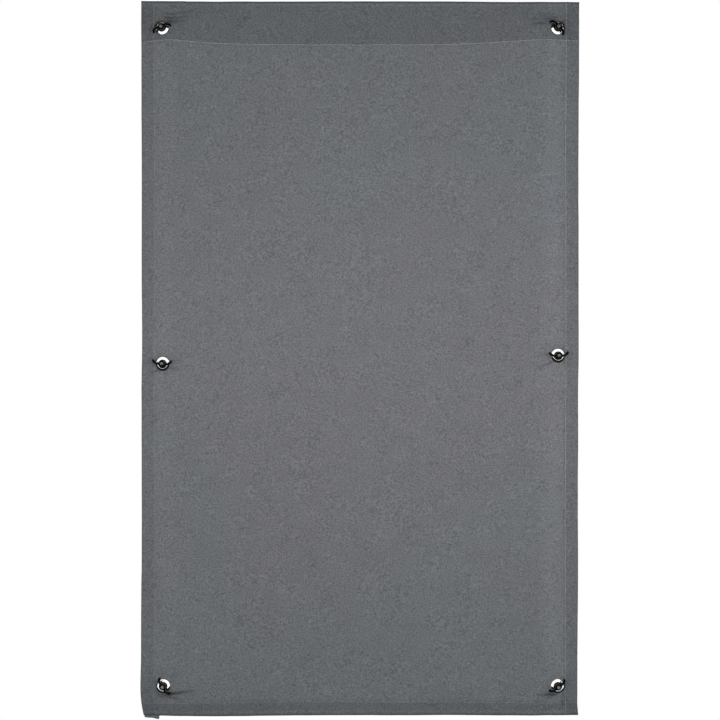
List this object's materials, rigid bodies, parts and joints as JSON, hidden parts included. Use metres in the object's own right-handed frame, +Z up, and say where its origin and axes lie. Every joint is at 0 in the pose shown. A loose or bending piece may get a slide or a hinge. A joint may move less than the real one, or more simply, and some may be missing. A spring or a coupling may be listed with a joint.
{
  "type": "roof window sunshade panel",
  "caption": "Flat hemmed grey sunshade cloth for a roof window, held to the pane by suction cups whose threaded studs pass through metal eyelets and are closed by black winged nuts.",
  "frame": {"origin": "middle of the panel, on the plane of the window pane that the six cups seal on", "axes": "+X right and +Z up, both seen from the room; +Y from the room towards the pane"},
  "size_m": [0.59, 0.0313, 0.97],
  "materials": {
    "cloth": "matt plain-weave coated polyester",
    "hem": "the same cloth, turned and double",
    "thread": "light grey polyester sewing thread",
    "nickel": "bright nickel plate",
    "clear_vinyl": "clear soft vinyl",
    "zinc_steel": "zinc plate",
    "black_nylon": "satin moulded black"
  },
  "bodies": {
    "panel": {"panel_cloth": "cloth", "top_hem": "hem", "bottom_hem": "hem", "left_hem": "hem", "right_hem": "hem", "top_seam_needle_thread": "thread", "top_seam_bobbin_thread": "thread", "bottom_seam_needle_thread": "thread", "bottom_seam_bobbin_thread": "thread", "left_seam_needle_thread": "thread", "left_seam_bobbin_thread": "thread", "right_seam_needle_thread": "thread", "right_seam_bobbin_thread": "thread", "eyelet_top_left": "nickel", "eyelet_top_right": "nickel", "eyelet_mid_left": "nickel", "eyelet_mid_right": "nickel", "eyelet_bottom_left": "nickel", "eyelet_bottom_right": "nickel", "eyelet_ring_top_left": "nickel", "eyelet_ring_top_right": "nickel", "eyelet_ring_mid_left": "nickel", "eyelet_ring_mid_right": "nickel", "eyelet_ring_bottom_left": "nickel", "eyelet_ring_bottom_right": "nickel"},
    "cup_top_left": {"suction_cup_top_left": "clear_vinyl", "stud_top_left": "zinc_steel"},
    "nut_top_left": {"wing_nut_top_left": "black_nylon"},
    "cup_top_right": {"suction_cup_top_right": "clear_vinyl", "stud_top_right": "zinc_steel"},
    "nut_top_right": {"wing_nut_top_right": "black_nylon"},
    "cup_mid_left": {"suction_cup_mid_left": "clear_vinyl", "stud_mid_left": "zinc_steel"},
    "nut_mid_left": {"wing_nut_mid_left": "black_nylon"},
    "cup_mid_right": {"suction_cup_mid_right": "clear_vinyl", "stud_mid_right": "zinc_steel"},
    "nut_mid_right": {"wing_nut_mid_right": "black_nylon"},
    "cup_bottom_left": {"suction_cup_bottom_left": "clear_vinyl", "stud_bottom_left": "zinc_steel"},
    "nut_bottom_left": {"wing_nut_bottom_left": "black_nylon"},
    "cup_bottom_right": {"suction_cup_bottom_right": "clear_vinyl", "stud_bottom_right": "zinc_steel"},
    "nut_bottom_right": {"wing_nut_bottom_right": "black_nylon"}
  },
  "joints": [
    {"name": "nut_turn_top_left", "type": "hinge", "parent": "panel", "child": "nut_top_left", "pos_m": [-0.2668, -0.02, 0.4455], "axis": [0, -1, 0], "range_deg": [0, 4680]},
    {"name": "cup_travel_top_left", "type": "slide", "parent": "panel", "child": "cup_top_left", "axis": [0, 1, 0], "range_m": [0, 0.0104]},
    {"name": "nut_turn_top_right", "type": "hinge", "parent": "panel", "child": "nut_top_right", "pos_m": [0.2668, -0.02, 0.4455], "axis": [0, -1, 0], "range_deg": [0, 4680]},
    {"name": "cup_travel_top_right", "type": "slide", "parent": "panel", "child": "cup_top_right", "axis": [0, 1, 0], "range_m": [0, 0.0104]},
    {"name": "nut_turn_mid_left", "type": "hinge", "parent": "panel", "child": "nut_mid_left", "pos_m": [-0.2655, -0.02, -0.0075], "axis": [0, -1, 0], "range_deg": [0, 4680]},
    {"name": "cup_travel_mid_left", "type": "slide", "parent": "panel", "child": "cup_mid_left", "axis": [0, 1, 0], "range_m": [0, 0.0104]},
    {"name": "nut_turn_mid_right", "type": "hinge", "parent": "panel", "child": "nut_mid_right", "pos_m": [0.2668, -0.02, 0.0035], "axis": [0, -1, 0], "range_deg": [0, 4680]},
    {"name": "cup_travel_mid_right", "type": "slide", "parent": "panel", "child": "cup_mid_right", "axis": [0, 1, 0], "range_m": [0, 0.0104]},
    {"name": "nut_turn_bottom_left", "type": "hinge", "parent": "panel", "child": "nut_bottom_left", "pos_m": [-0.2648, -0.02, -0.4412], "axis": [0, -1, 0], "range_deg": [0, 4680]},
    {"name": "cup_travel_bottom_left", "type": "slide", "parent": "panel", "child": "cup_bottom_left", "axis": [0, 1, 0], "range_m": [0, 0.0104]},
    {"name": "nut_turn_bottom_right", "type": "hinge", "parent": "panel", "child": "nut_bottom_right", "pos_m": [0.2665, -0.02, -0.4412], "axis": [0, -1, 0], "range_deg": [0, 4680]},
    {"name": "cup_travel_bottom_right", "type": "slide", "parent": "panel", "child": "cup_bottom_right", "axis": [0, 1, 0], "range_m": [0, 0.0104]}
  ],
  "couplings": [
    {"joint": "nut_turn_top_left", "follows": "cup_travel_top_left", "rad_per_m": 7853.9},
    {"joint": "nut_turn_top_right", "follows": "cup_travel_top_right", "rad_per_m": 7853.9},
    {"joint": "nut_turn_mid_left", "follows": "cup_travel_mid_left", "rad_per_m": 7853.9},
    {"joint": "nut_turn_mid_right", "follows": "cup_travel_mid_right", "rad_per_m": 7853.9},
    {"joint": "nut_turn_bottom_left", "follows": "cup_travel_bottom_left", "rad_per_m": 7853.9},
    {"joint": "nut_turn_bottom_right", "follows": "cup_travel_bottom_right", "rad_per_m": 7853.9}
  ]
}
